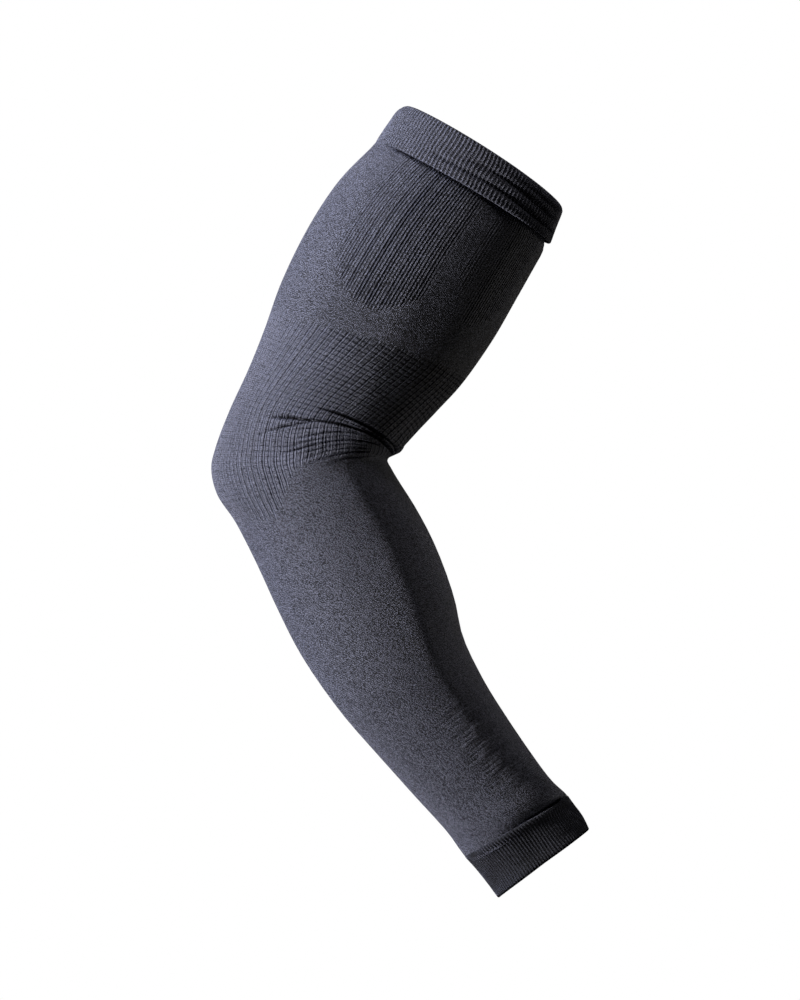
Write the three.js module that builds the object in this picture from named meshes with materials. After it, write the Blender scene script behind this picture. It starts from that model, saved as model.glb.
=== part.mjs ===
// Knitted arm sleeve, in the form it has when worn with the elbow bent: a turned ribbed band round the upper
// arm, a tube whose cloth fans into folds at the crook of the elbow, and a ribbed cuff at the wrist. The tube is
// in two lengths, which meet in the lowest fold. Sizes are in millimetres. The arm bends in the XZ plane with
// +Z up and the crook towards +X, and the origin is the middle of the upper opening.

import * as THREE from "three";

// Cloth
const TUBE_WALL = 1.2;
const BAND_WALL = 1.6;
const CUFF_WALL = 1.4;
const SEAT_GAP = 0.3; // clear space where the tube's end sits inside the band or the cuff
const PART_GAP = 0.3; // and between its two lengths

// Ribs of the band and the cuff
const BAND_RIBS = 152;
const CUFF_RIBS = 98;
const RIB_DEPTH = 0.5;

// Corners round the arm
const TUBE_SIDES = 48;
const LINING_SIDES = 24; // the inner walls are coarser than what shows
const CORNERS_PER_RIB = 2;

// The arm's outline, section by section. outer is the point on the triceps and elbow side and crook the point
// on the side that bends, each as [x, z]; depth is half the size along Y; egg is how much the depth gathers
// towards the crook.
const SECTIONS = [
  { name: "rim crest", outer: [-38.8, 28], crook: [41.6, -22.7], depth: 44.8, egg: 0 },
  { name: "upper rim", outer: [-40.5, 25.5], crook: [40.5, -25.5], depth: 45, egg: 0 },
  { name: "band hem", outer: [-52.5, 8.5], crook: [34, -42], depth: 47, egg: 0 },
  { name: "below the band", outer: [-54.5, 6], crook: [32, -45], depth: 47, egg: 0 },
  { name: "upper arm", outer: [-70.5, -10.5], crook: [18, -69.5], depth: 50, egg: 0 },
  { name: "biceps", outer: [-87, -35.5], crook: [4.5, -92.5], depth: 50.5, egg: 0 },
  { name: "below the biceps", outer: [-99.5, -60.5], crook: [-9.5, -112.5], depth: 48.5, egg: 0.03 },
  { name: "above the elbow", outer: [-108.5, -85.5], crook: [-21.5, -125.5], depth: 46.5, egg: 0.06 },
  { name: "elbow zone", outer: [-116.5, -105.5], crook: [-31, -135.5], depth: 45, egg: 0.1 },
  { name: "fold fan", outer: [-125.5, -125.5], crook: [-38.5, -143.5], depth: 44, egg: 0.14 },
  { name: "over the elbow", outer: [-132.5, -144], crook: [-44, -148], depth: 43.5, egg: 0.18 },
  { name: "elbow tip", outer: [-134.8, -154.5], crook: [-46.7, -150.2], depth: 44, egg: 0.2 },
  { name: "under the elbow", outer: [-132, -167.5], crook: [-44.5, -155], depth: 44.5, egg: 0.22 },
  { name: "forearm top", outer: [-122.8, -181.5], crook: [-40, -162.5], depth: 45, egg: 0.22 },
  { name: "forearm swell", outer: [-113, -200.5], crook: [-33, -173.5], depth: 44.5, egg: 0.22 },
  { name: "forearm", outer: [-101.5, -225.5], crook: [-24, -190.5], depth: 43.5, egg: 0.22 },
  { name: "mid forearm", outer: [-88.3, -250.5], crook: [-13.6, -219], depth: 41, egg: 0.2 },
  { name: "forearm taper", outer: [-71, -275.5], crook: [-9, -239], depth: 37.5, egg: 0.18 },
  { name: "lower forearm", outer: [-54, -295.5], crook: [0, -258], depth: 33, egg: 0.16 },
  { name: "above the wrist", outer: [-36, -315.5], crook: [12.5, -278.5], depth: 29.5, egg: 0.14 },
  { name: "wrist", outer: [-22, -330.5], crook: [23.5, -295], depth: 27.5, egg: 0.12 },
  { name: "wrist swell", outer: [-15.5, -338], crook: [35.5, -311], depth: 27, egg: 0.09 },
  { name: "gathered seam", outer: [-8.5, -348], crook: [43, -318], depth: 26, egg: 0.05 },
  { name: "cuff top", outer: [-7, -349.5], crook: [43.8, -319.4], depth: 25.5, egg: 0.04 },
  { name: "cuff", outer: [2, -360.5], crook: [50.5, -328], depth: 25, egg: 0.02 },
  { name: "wrist rim", outer: [9, -369.5], crook: [54, -335.5], depth: 24.5, egg: 0 },
];

// Places along the middle of the arm, from the upper rim
const BAND_END = 19.4;
const CUFF_START = 390.6;
const ARM_LENGTH = 413.4;
const TUCK = 5; // how far the tube's ends reach into the band and the cuff
const BAND_BOW = 1; // how far the band's hem and the cuff lie further up the arm at its sides
const CUFF_BOW = 1.9;

// Folds that fan out of the crook. side is where a fold lies along the arm at the side of the elbow, depth is
// how far its groove sinks, and reach is the angle round the arm, from the crook, where it has died out.
const FOLDS = [
  { side: 147, depth: 2.0, reach: 105 },
  { side: 151.5, depth: 1.5, reach: 128 },
  { side: 156.5, depth: 1.5, reach: 132 },
  { side: 163, depth: 1.4, reach: 120 },
  { side: 170, depth: 1.3, reach: 105 },
  { side: 177.5, depth: 1.2, reach: 95 },
  { side: 185, depth: 0.8, reach: 80 },
];
const CROOK = 177; // where the folds come together
const CROOK_PITCH = 0.9; // how far apart along the arm they start there
const CROOK_SHARE = 0.35; // of a fold's depth that is left at the crook itself
const CROOK_ANGLE = 32; // a fold has its full depth from this angle on
const FADE_ANGLE = 45; // and loses it over this angle before its reach
const RIDGE_SHARE = 0.45; // how far the cloth between two folds stands up, of their depth

// The tube's courses, from the band to the cuff. crook and side are where a course lies along the arm at the
// crook and at the side, lift is how far it stands out from the outline, and rows is how many courses lead on
// to the next line of the table.
const TUCKED_IN_BAND = -(BAND_WALL + SEAT_GAP);
const TUCKED_IN_CUFF = -(CUFF_WALL + SEAT_GAP);
const UPPER_COURSES = [
  { crook: BAND_END - TUCK, side: BAND_END - TUCK - BAND_BOW, lift: TUCKED_IN_BAND, rows: 1 },
  { crook: BAND_END + 0.3, side: BAND_END + 0.3 - BAND_BOW, lift: TUCKED_IN_BAND, rows: 1 },
  { crook: BAND_END + 1.8, side: BAND_END + 1.8 - BAND_BOW, lift: 0, rows: 6 },
  { crook: 104, side: 104, lift: 0, rows: 6 },
];
const LOWER_COURSES = [
  { crook: 200, side: 203, lift: 0, rows: 10 },
  { crook: 372, side: 372 - CUFF_BOW, lift: 0, rows: 2 },
  { crook: 386, side: 386 - CUFF_BOW, lift: 0.2, rows: 1 },
  { crook: CUFF_START - 1.4, side: CUFF_START - 1.4 - CUFF_BOW, lift: -0.1, rows: 1 },
  { crook: CUFF_START - 0.2, side: CUFF_START - 0.2 - CUFF_BOW, lift: TUCKED_IN_CUFF, rows: 1 },
  { crook: CUFF_START + TUCK, side: CUFF_START + TUCK - CUFF_BOW, lift: TUCKED_IN_CUFF, rows: 1 },
];
const FOLD_TO_FOREARM_ROWS = 2;

// How the band and the cuff stand out, from edge to edge. Their edges bow a little up the arm at its sides, so
// crook and side are again places along the arm, and rib is the share of a rib's depth.
const BAND_PROFILE = [
  { crook: 0, side: -2.4, lift: -1.2, rib: 0.3 },
  { crook: 1.4, side: -1, lift: 0.1, rib: 1 },
  { crook: 9.5, side: 7.8, lift: -0.5, rib: 1 },
  { crook: BAND_END - 1, side: BAND_END - 1 - BAND_BOW, lift: 0.1, rib: 1 },
  { crook: BAND_END, side: BAND_END - BAND_BOW, lift: -1, rib: 0.3 },
];
const CUFF_PROFILE = [
  { crook: CUFF_START, side: CUFF_START - CUFF_BOW, lift: -1, rib: 0.3 },
  { crook: CUFF_START + 1.2, side: CUFF_START + 1.2 - CUFF_BOW, lift: 0, rib: 1 },
  { crook: ARM_LENGTH - 1.2, side: ARM_LENGTH - 1.2 - CUFF_BOW, lift: 0, rib: 1 },
  { crook: ARM_LENGTH, side: ARM_LENGTH - CUFF_BOW, lift: -0.7, rib: 0.3 },
];

// The arm's outline as smooth lines through the sections

const LAST = SECTIONS.length - 1;
const middles = SECTIONS.map(({ outer, crook }) =>
  new THREE.Vector2((outer[0] + crook[0]) / 2, (outer[1] + crook[1]) / 2));
const line = (points) => new THREE.CatmullRomCurve3(points, false, "centripetal");
const outerLine = line(SECTIONS.map(({ outer }) => new THREE.Vector3(outer[0], 0, outer[1])));
const crookLine = line(SECTIONS.map(({ crook }) => new THREE.Vector3(crook[0], 0, crook[1])));
const sideLine = line(SECTIONS.map(({ depth }, row) => new THREE.Vector3(middles[row].x, depth, middles[row].y)));

// How far along the arm each section lies; the upper rim is 0, and the crest before it is above that.
const reached = [-middles[0].distanceTo(middles[1])];
for (let row = 1; row <= LAST; row += 1) {
  reached.push(reached[row - 1] + middles[row].distanceTo(middles[row - 1]));
}

// The section number, with its fraction, that lies a given way along the arm.
function rowAt(along) {
  let row = 0;
  while (row < LAST - 1 && reached[row + 1] < along) {
    row += 1;
  }
  return row + (along - reached[row]) / (reached[row + 1] - reached[row]);
}

// How far the depth gathers towards the crook, between two sections.
function eggAt(row) {
  const from = Math.min(Math.floor(row), LAST - 1);
  return THREE.MathUtils.lerp(SECTIONS[from].egg, SECTIONS[from + 1].egg, row - from);
}

// A point of the outline, angle round from the crook, standing out by lift.
function pointOn(along, angle, lift) {
  const row = THREE.MathUtils.clamp(rowAt(along), 0, LAST);
  const outer = outerLine.getPoint(row / LAST);
  const crook = crookLine.getPoint(row / LAST);
  const across = crook.clone().sub(outer);
  const halfWidth = across.length() / 2;
  across.normalize();
  const halfDepth = sideLine.getPoint(row / LAST).y * (1 + eggAt(row) * Math.cos(angle));
  const out = new THREE.Vector2(Math.cos(angle) / halfWidth, Math.sin(angle) / halfDepth).normalize();
  const inPlane = halfWidth * Math.cos(angle) + lift * out.x;
  const inDepth = halfDepth * Math.sin(angle) + lift * out.y;
  return outer
    .clone()
    .lerp(crook, 0.5)
    .addScaledVector(across, inPlane)
    .add(new THREE.Vector3(0, -inDepth, 0));
}

// A ring of corners round the arm, from crook to side along it; lift is a function of angle and corner number.
function ring(sides, { crook, side }, lift) {
  return Array.from({ length: sides }, (_, corner) => {
    const angle = (2 * Math.PI * corner) / sides;
    const turned = Math.min(angle, 2 * Math.PI - angle, Math.PI / 2);
    return pointOn(THREE.MathUtils.lerp(crook, side, Math.sin(turned)), angle, lift(angle, corner));
  });
}

// Joins two rings, walking round both and stepping on the one that lags behind.
function bridge(from, to, triangles) {
  let a = 0;
  let b = 0;
  while (a < from.count || b < to.count) {
    const cornerA = from.start + (a % from.count);
    const cornerB = to.start + (b % to.count);
    if ((a + 1) / from.count <= (b + 1) / to.count) {
      triangles.push(cornerA, from.start + ((a + 1) % from.count), cornerB);
      a += 1;
    } else {
      triangles.push(cornerA, to.start + ((b + 1) % to.count), cornerB);
      b += 1;
    }
  }
}

// A closed wall: its rings run down the outside and back up the inside.
function wall(rings) {
  const corners = rings.flat();
  const spans = [];
  let start = 0;
  for (const { length: count } of rings) {
    spans.push({ start, count });
    start += count;
  }
  const triangles = [];
  spans.forEach((span, number) => bridge(span, spans[(number + 1) % spans.length], triangles));
  const geometry = new THREE.BufferGeometry().setFromPoints(corners);
  geometry.setIndex(triangles);
  geometry.computeVertexNormals();
  return geometry;
}

// The tube

// How much of a fold's depth is left at an angle round the arm.
function foldShare(angle, reach) {
  const turned = THREE.MathUtils.radToDeg(Math.min(angle, 2 * Math.PI - angle));
  const opening = THREE.MathUtils.smoothstep(turned, 0, CROOK_ANGLE);
  const dying = 1 - THREE.MathUtils.smoothstep(turned, reach - FADE_ANGLE, reach);
  return THREE.MathUtils.lerp(CROOK_SHARE, 1, opening) * dying;
}

// The courses between the lines of a table, with the last line left to whatever follows.
function spread(lines) {
  const courses = [];
  for (let number = 0; number + 1 < lines.length; number += 1) {
    const here = lines[number];
    const next = lines[number + 1];
    for (let row = 0; row < here.rows; row += 1) {
      const share = row / here.rows;
      courses.push({
        crook: THREE.MathUtils.lerp(here.crook, next.crook, share),
        side: THREE.MathUtils.lerp(here.side, next.side, share),
        lift: row === 0 ? here.lift : THREE.MathUtils.lerp(here.lift, next.lift, share),
        reach: 0,
      });
    }
  }
  return courses;
}

// A groove for each fold, and the ridge that stands between it and the next.
function foldCourses() {
  const courses = [];
  const middle = (FOLDS.length - 1) / 2;
  FOLDS.forEach((fold, number) => {
    const start = CROOK + (number - middle) * CROOK_PITCH;
    courses.push({ crook: start, side: fold.side, lift: -fold.depth, reach: fold.reach });
    const next = FOLDS[number + 1];
    if (next) {
      courses.push({
        crook: start + CROOK_PITCH / 2,
        side: (fold.side + next.side) / 2,
        lift: (RIDGE_SHARE * (fold.depth + next.depth)) / 2,
        reach: Math.min(fold.reach, next.reach),
      });
    }
  });
  return courses;
}

// The upper length ends in the groove of the lowest fold, and the forearm's length starts there.
function upperCourses() {
  const folds = foldCourses();
  const first = { ...folds[0], lift: 0 };
  return [...spread([...UPPER_COURSES, first]), ...folds];
}

function forearmCourses() {
  const lowest = foldCourses().pop();
  const start = { ...lowest, crook: lowest.crook + PART_GAP, side: lowest.side + PART_GAP };
  const below = spread([{ ...start, lift: 0, rows: FOLD_TO_FOREARM_ROWS }, LOWER_COURSES[0]]).slice(1);
  const end = LOWER_COURSES[LOWER_COURSES.length - 1];
  return [start, ...below, ...spread([...LOWER_COURSES, end])];
}

function courseRing(course, sides, inward) {
  const { lift, reach } = course;
  const standing = (angle) => (reach ? lift * foldShare(angle, reach) : lift) - inward;
  return ring(sides, course, standing);
}

function tube(courses) {
  const outside = courses.map((course) => courseRing(course, TUBE_SIDES, 0));
  const inside = courses.map((course) => courseRing(course, LINING_SIDES, TUBE_WALL));
  return wall([...outside, ...inside.reverse()]);
}

// The band and the cuff

// seat is the course of the tube's end inside it.
function ribbedWall(profile, ribs, thickness, seat) {
  const outside = profile.map((row) => {
    const ridge = (angle, corner) => row.lift - (corner % CORNERS_PER_RIB ? row.rib * RIB_DEPTH : 0);
    return ring(ribs * CORNERS_PER_RIB, row, ridge);
  });
  const stations = [profile[profile.length - 1], seat, profile[0]];
  const inside = stations.map((station) => ring(TUBE_SIDES, station, () => -thickness));
  return wall([...outside, ...inside]);
}

// The sleeve

function piece(name, geometry, colour) {
  const cloth = new THREE.MeshStandardMaterial({ color: colour, roughness: 0.85, metalness: 0 });
  const mesh = new THREE.Mesh(geometry, cloth);
  mesh.name = name;
  return mesh;
}

const SLATE = 0x3a3b44;
const DARK_SLATE = 0x33343c;

const band = ribbedWall(BAND_PROFILE, BAND_RIBS, BAND_WALL, UPPER_COURSES[0]);
const cuff = ribbedWall(CUFF_PROFILE, CUFF_RIBS, CUFF_WALL, LOWER_COURSES[LOWER_COURSES.length - 1]);

const armSleeve = new THREE.Group();
armSleeve.add(piece("upper_band", band, DARK_SLATE));
armSleeve.add(piece("upper_sleeve", tube(upperCourses()), SLATE));
armSleeve.add(piece("forearm_sleeve", tube(forearmCourses()), SLATE));
armSleeve.add(piece("wrist_cuff", cuff, DARK_SLATE));

export default armSleeve;
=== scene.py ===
"""Looks of a knitted arm sleeve: a tube with rib panels, elbow zone and folds, a turned band and a cuff."""

import math
from functools import partial

import bmesh
import bpy
import numpy as np
from bpy.props import FloatProperty, FloatVectorProperty, IntProperty, PointerProperty
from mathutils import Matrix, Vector


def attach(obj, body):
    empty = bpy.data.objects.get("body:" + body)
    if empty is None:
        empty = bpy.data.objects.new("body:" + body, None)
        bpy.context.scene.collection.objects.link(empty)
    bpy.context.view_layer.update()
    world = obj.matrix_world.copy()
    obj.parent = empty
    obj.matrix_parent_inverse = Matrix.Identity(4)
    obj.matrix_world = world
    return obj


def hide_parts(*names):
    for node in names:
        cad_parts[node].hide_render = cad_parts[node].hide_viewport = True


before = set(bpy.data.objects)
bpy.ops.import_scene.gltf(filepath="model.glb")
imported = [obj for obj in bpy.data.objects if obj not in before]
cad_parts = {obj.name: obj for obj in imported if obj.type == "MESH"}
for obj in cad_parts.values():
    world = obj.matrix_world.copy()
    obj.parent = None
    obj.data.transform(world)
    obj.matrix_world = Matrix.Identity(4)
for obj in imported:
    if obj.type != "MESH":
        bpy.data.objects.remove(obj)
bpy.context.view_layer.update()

bl_info = {
    "name": "Knitted arm sleeve",
    "version": (1, 0, 0),
    "blender": (4, 5, 0),
    "location": "View3D > Sidebar > Sleeve",
    "description": "Knits an arm sleeve with rib panels, an elbow zone, a turned band and a ribbed cuff",
    "category": "Mesh",
}

BODY = "root"
MM = 0.001  # tables and shaping are in millimetres, meshes in metres

# The arm's outline, section by section from the shoulder to the wrist, as in the part's source: the point on
# the triceps and elbow side, the point on the side that bends, half the depth across the arm, and how much
# that depth gathers towards the crook of the elbow.
SECTIONS = np.array((
    # outer x, z,   crook x, z,     depth, egg
    (-38.8, 28.0, 41.6, -22.7, 44.8, 0.0),  # rim crest
    (-40.5, 25.5, 40.5, -25.5, 45.0, 0.0),  # upper rim
    (-52.5, 8.5, 34.0, -42.0, 47.0, 0.0),  # band hem
    (-54.5, 6.0, 32.0, -45.0, 47.0, 0.0),  # below the band
    (-70.5, -10.5, 18.0, -69.5, 50.0, 0.0),  # upper arm
    (-87.0, -35.5, 4.5, -92.5, 50.5, 0.0),  # biceps
    (-99.5, -60.5, -9.5, -112.5, 48.5, 0.03),  # below the biceps
    (-108.5, -85.5, -21.5, -125.5, 46.5, 0.06),  # above the elbow
    (-116.5, -105.5, -31.0, -135.5, 45.0, 0.1),  # elbow zone
    (-125.5, -125.5, -38.5, -143.5, 44.0, 0.14),  # fold fan
    (-132.5, -144.0, -44.0, -148.0, 43.5, 0.18),  # over the elbow
    (-134.8, -154.5, -46.7, -150.2, 44.0, 0.2),  # elbow tip
    (-132.0, -167.5, -44.5, -155.0, 44.5, 0.22),  # under the elbow
    (-122.8, -181.5, -40.0, -162.5, 45.0, 0.22),  # forearm top
    (-113.0, -200.5, -33.0, -173.5, 44.5, 0.22),  # forearm swell
    (-101.5, -225.5, -24.0, -190.5, 43.5, 0.22),  # forearm
    (-88.3, -250.5, -13.6, -219.0, 41.0, 0.2),  # mid forearm
    (-71.0, -275.5, -9.0, -239.0, 37.5, 0.18),  # forearm taper
    (-54.0, -295.5, 0.0, -258.0, 33.0, 0.16),  # lower forearm
    (-36.0, -315.5, 12.5, -278.5, 29.5, 0.14),  # above the wrist
    (-22.0, -330.5, 23.5, -295.0, 27.5, 0.12),  # wrist
    (-15.5, -338.0, 35.5, -311.0, 27.0, 0.09),  # wrist swell
    (-8.5, -348.0, 43.0, -318.0, 26.0, 0.05),  # gathered seam
    (-7.0, -349.5, 43.8, -319.4, 25.5, 0.04),  # cuff top
    (2.0, -360.5, 50.5, -328.0, 25.0, 0.02),  # cuff
    (9.0, -369.5, 54.0, -335.5, 24.5, 0.0),  # wrist rim
))
UPPER_RIM = 1  # the section that places along the arm are measured from
SIDEWAYS = 90.0  # degrees from the crook to the side of the arm

# Where a course of stitches lies along the arm: at the crook for its place at the arm's side. The courses
# crowd together at the crook of the elbow.
COURSE_LINES = np.array((
    # side, crook
    (-2.4, 0.0),
    (18.4, 19.4),
    (104.0, 104.0),
    (147.0, 174.3),
    (185.0, 179.7),
    (203.0, 200.0),
    (370.1, 372.0),
    (411.5, 413.4),
))

# How far the courses bow up the arm on either side of the crook, where the cloth below the main fold is
# pushed up
COURSE_BOW = np.array((
    # side, bow
    (147.0, 0.0),
    (155.0, 2.0),
    (161.5, 7.5),
    (172.5, 9.5),
    (178.0, 9.5),
    (186.0, 5.0),
    (193.0, 0.0),
))
BOW_REACH = 100.0  # degrees from the crook
BOW_POWER = 1.3

# How far the tube stands out from the outline: it tucks into the band, puffs up above the cuff and tucks
# into that. Towards the outside of the arm the dips and the puff close, and at the cuff they open up away
# from the crook.
TUBE_STAND = np.array((
    # side, lift, degrees from the crook where it is open and where it closes
    (13.0, -2.4, 0.0, 148.0),
    (18.0, -2.4, 0.0, 148.0),
    (19.4, -1.9, 0.0, 148.0),
    (21.0, -1.0, 0.0, 148.0),
    (23.5, -0.3, 0.0, 148.0),
    (27.0, 0.0, 0.0, 148.0),
    (366.0, 0.0, 36.0, 100.0),
    (373.0, 0.5, 36.0, 100.0),
    (379.0, 1.6, 36.0, 100.0),
    (383.0, 1.1, 36.0, 100.0),
    (385.6, -0.4, 36.0, 100.0),
    (387.6, -2.0, 36.0, 100.0),
    (389.4, -2.4, 36.0, 100.0),
    (394.0, -2.4, 36.0, 100.0),
))
OPENING = 33.0  # degrees over which it opens
CLOSING = 22.0  # degrees either side of where it closes
CLOSED = 0.05  # share of the dip or puff that is left

# Rows of the tube's mesh, as spans of side places with a number of rows each
TUBE_ROWS = (
    # from, to, rows
    (13.0, 18.0, 2),
    (18.0, 27.0, 10),
    (27.0, 105.0, 22),
    (105.0, 142.0, 20),
    (142.0, 190.0, 100),
    (190.0, 203.0, 8),
    (203.0, 315.0, 14),
    (315.0, 374.0, 50),
    (374.0, 394.0, 18),
)
TUBE_COLUMNS = 360
LINING_ROWS = (
    # side places from the wrist up, close together in the folds
    394.0, 383.0, 370.0, 340.0, 310.0, 280.0, 250.0, 220.0, 200.0, 191.0, 185.0,
    181.2, 177.5, 173.7, 170.0, 166.5, 163.0, 159.7, 156.5, 154.0, 151.5, 149.2,
    147.0, 141.0, 125.0, 100.0, 75.0, 50.0, 27.0, 18.0, 13.0,
)
LINING_GAP = 0.25  # the lining lies this far below the deepest relief

# Folds that sweep round from the crook. side is where a fold lies MIDWAY round, in degrees, and lean is how
# far it drops down the arm for each degree towards the outside.
FOLDS = (
    # side, depth, half width, degrees from the crook where it starts and ends, lean
    (147.6, 1.6, 0.8, 10.0, 98.0, 0.04),
    (150.8, 1.6, 2.0, 4.0, 66.0, 0.0),
    (153.8, 1.5, 0.8, 8.0, 125.0, 0.08),
    (151.9, 0.9, 0.7, 88.0, 127.0, 0.29),
    (158.3, 0.5, 0.6, 66.0, 114.0, 0.12),
    (162.8, 1.2, 0.8, 36.0, 102.0, 0.12),
    (166.4, 0.6, 0.7, 60.0, 110.0, 0.12),
    (170.0, 1.2, 0.8, 36.0, 106.0, 0.11),
    (173.9, 0.8, 0.7, 52.0, 96.0, 0.12),
    (177.7, 0.7, 0.7, 44.0, 94.0, 0.1),
    (181.5, 0.8, 0.7, 40.0, 88.0, 0.1),
    (184.9, 0.5, 0.7, 36.0, 82.0, 0.08),
)
MIDWAY = 80.0
FOLD_START = (-3.0, 9.0)  # degrees from its start over which a fold deepens
FOLD_FADE = 18.0  # degrees over which it dies out
FOLD_LIP, FOLD_LIP_PLACE = 0.2, 2.0  # height of its edges, of its depth, and their place in half widths
FLAP, FLAP_SIDE, FLAP_WIDTH = 1.6, 142.0, 3.2  # the upper arm's cloth stands over the crook
FLAP_ENDS = (8.0, 40.0)  # degrees over which that dies out
HEM_SHADE = (18.7, 1.7, 156.0)  # place and half width of the painted shade in the gap under the band's hem, and where it closes
HEM_FADE = 20.0

# Where the cloth turns away over the muscles, on either side of the crook
BROW = np.array((
    # side, degrees from the crook, height
    (20.0, 79.0, 0.8),
    (90.0, 79.0, 1.2),
    (130.0, 76.0, 1.1),
    (148.0, 70.0, 0.2),
    (156.0, 62.0, 0.0),
    (186.0, 60.0, 0.2),
    (200.0, 61.0, 1.2),
    (250.0, 61.0, 1.5),
    (300.0, 62.0, 1.2),
    (350.0, 62.0, 0.45),
    (380.0, 60.0, 0.0),
))
BROW_WIDTH = 10.0  # degrees

# Short creases at the lower forearm
WRINKLES = (
    # side, middle in degrees, half width, depth
    (319.0, 80.0, 16.0, 0.27),
    (325.0, 70.0, 18.0, 0.32),
    (330.0, 84.0, 16.0, 0.27),
    (334.5, 66.0, 20.0, 0.42),
    (339.0, 80.0, 18.0, 0.32),
    (343.5, 60.0, 22.0, 0.42),
    (348.0, 75.0, 20.0, 0.42),
    (352.5, 61.0, 24.0, 0.48),
    (357.0, 72.0, 20.0, 0.42),
    (361.5, 57.0, 24.0, 0.48),
    (366.0, 68.0, 20.0, 0.36),
    (371.0, 50.0, 22.0, 0.32),
)
WRINKLE_WIDTH = 1.4
WRINKLE_BEND, WRINKLE_WAVES = 2.2, 2.5  # how far a crease bends along the arm, and how fast
WRINKLE_LIP, WRINKLE_LIP_PLACE = 0.5, 1.6  # height of its lower edge, of its depth, and its place

# Rib panels of the upper arm, mirrored on the far side
PANEL_RIBS = 200
PANELS = (
    # middle, half width in degrees round from the crook, lowest place, rise at the edges
    (103.0, 28.0, 94.0, 19.0),
    (43.0, 20.5, 74.0, 20.0),
)
PANEL_CURVE = 2.4  # how late the lower edge rises
PANEL_SIDES = (0.97, 1.03)  # where its sides fade, in half widths
PANEL_SOFT = 1.5  # millimetres either way over which its lower edge fades
PANEL_FADE, PANEL_LOSS = (98.0, 131.0), 0.5  # degrees over which it flattens towards the outside

# Elbow zone: pillows of knit between grooves along the arm and tucks across it
ELBOW_RIBS = 88
ELBOW_TOP = 107.0  # its upper edge at the side of the arm, which slopes down towards the outside
ELBOW_TOP_SLOPE, ELBOW_SLOPED = 0.17, (40.0, 130.0)  # for each degree, between these degrees
ELBOW_TOP_EDGE, ELBOW_LOW_EDGE = (-1.0, 2.0), (-5.0, 1.0)  # it starts and ends between these, from its edges
ELBOW_LOW = (182.5, 204.0)  # its lower edge, towards the crook and round the outside
ELBOW_LOW_TURN = (84.0, 126.0)
ELBOW_FADE, ELBOW_LOSS = (105.0, 150.0), 0.2  # degrees over which it flattens towards the outside
ELBOW_SPREAD = 16.0  # degrees that the ribs swing from the crook towards the outside
ELBOW_SPREAD_TURN = ((0.0, 35.0), (118.0, 178.0))  # over these degrees the swing starts and dies out
ELBOW_SPREAD_PLACES = np.array((
    # side, share of that swing
    (104.0, 0.0),
    (150.0, 1.0),
    (158.0, 1.0),
    (174.0, 0.5),
    (183.0, 0.25),
    (196.0, 0.6),
    (205.0, 0.75),
    (290.0, 0.0),
))
ELBOW_SPREAD_BLUR = (-7.0, -3.5, 0.0, 3.5, 7.0)  # places that the swing is averaged over
TUCK_PITCH = 2.4
TUCK = 0.85  # depth of the tucks, of the grooves' depth
TUCK_LOW, TUCK_LOW_LOSS = (147.0, 156.0), 0.6  # they flatten below the main fold
TUCK_OUTSIDE = (98.0, 136.0)  # degrees over which they break up into beads
BEAD = 0.9  # depth of the beads, of the tucks' depth

# Fine crinkles above the wrist, which are knit like the tucks
CRINKLE = 0.9
CRINKLE_PLACES = ((314.0, 326.0), (362.0, 374.0))  # over which they start and end
CRINKLE_TURN = (70.0, 17.0)  # middle and half width in degrees

# Painted light on the elbow zone towards the outside of the arm, and painted shade on the upper arm towards
# the crook
PAINTED_LIGHT_ABOVE, PAINTED_LIGHT_BELOW = (55.0, 115.0), (35.0, 75.0)  # degrees, above and below the main fold
BELOW_FOLD = (150.0, 160.0)
FAN_PAINTED_LIGHT, FAN_OUTSIDE = 0.8, (80.0, 115.0)  # more painted light between the folds, up to these degrees
UPPER_ARM_SHADE = 0.6
UPPER_ARM_SHADE_PLACES = ((60.0, 90.0), (100.0, 125.0))
UPPER_ARM_SHADE_OUTSIDE = (105.0, 135.0)

# Slow, uneven waves
WEAR = (9, 14.0, 1)  # waves round the arm, length along it, seed
SAG = (2, 22.0, 5)
BEADS = (37, 1.5, 3)
CRINKLES = (13, 4.0, 8)
RIB_DRIFT = (5, 1.0, 4)
CREASE_DRIFT = (2, 1.0, 2)
CUFF_SAG = (2, 1.0, 6)
WEAR_SHARE = 0.3
SAG_LIFT = 0.25
CUFF_SAG_LIFT = 0.15
BEAD_LEVEL, CRINKLE_LEVEL, BROKEN_SWING = 0.45, 0.5, 0.9

# The band's and the cuff's section, walked down the outside from the upper edge, round the lower one and
# back up the inside. share is the place between the two edges.
BAND_EDGES = ((-2.4, 0.0, -1.3), (18.4, 19.4, 19.4))  # upper and lower: at the side, the crook and outside
BAND_SECTION = (
    # share, lift, rib
    (0.04, -2.4, 0.1),
    (0.0, -1.9, 0.3),
    (-0.02, -1.1, 0.6),
    (-0.01, -0.3, 0.9),
    (0.04, 0.25, 1.0),
    (0.12, 0.45, 1.0),
    (0.3, 0.4, 1.0),
    (0.5, 0.3, 1.0),
    (0.7, 0.35, 1.0),
    (0.86, 0.5, 1.0),
    (0.95, 0.5, 1.0),
    (0.995, 0.1, 0.9),
    (1.0, -0.6, 0.6),
    (0.98, -1.3, 0.3),
    (0.94, -2.0, 0.1),
)
BAND_CREASES = (
    # share, depth, degrees from the crook where it starts and ends
    (0.22, 0.5, 0.0, 70.0),
    (0.43, 0.9, 0.0, 104.0),
    (0.68, 1.0, 0.0, 132.0),
    (0.4, 0.5, 112.0, 176.0),
)
CREASE_WIDTH = 0.05
CREASE_FADE = 32.0  # degrees over which a crease starts and dies out
CREASE_SWAY = 0.03  # how far it wanders
CREASE_LIP, CREASE_LIP_PLACE = 0.5, 1.8  # height of its edges, of its depth, and their place
CREASE_SHADE = (30.0, 90.0)  # degrees over which the shade in it dies out
BAND_ROUND = (138.0, 178.0)  # degrees where its upper edge rounds off on the outside of the arm
BAND_ROUND_SHARE, BAND_ROUND_LIFT = 0.35, -1.8
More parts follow.
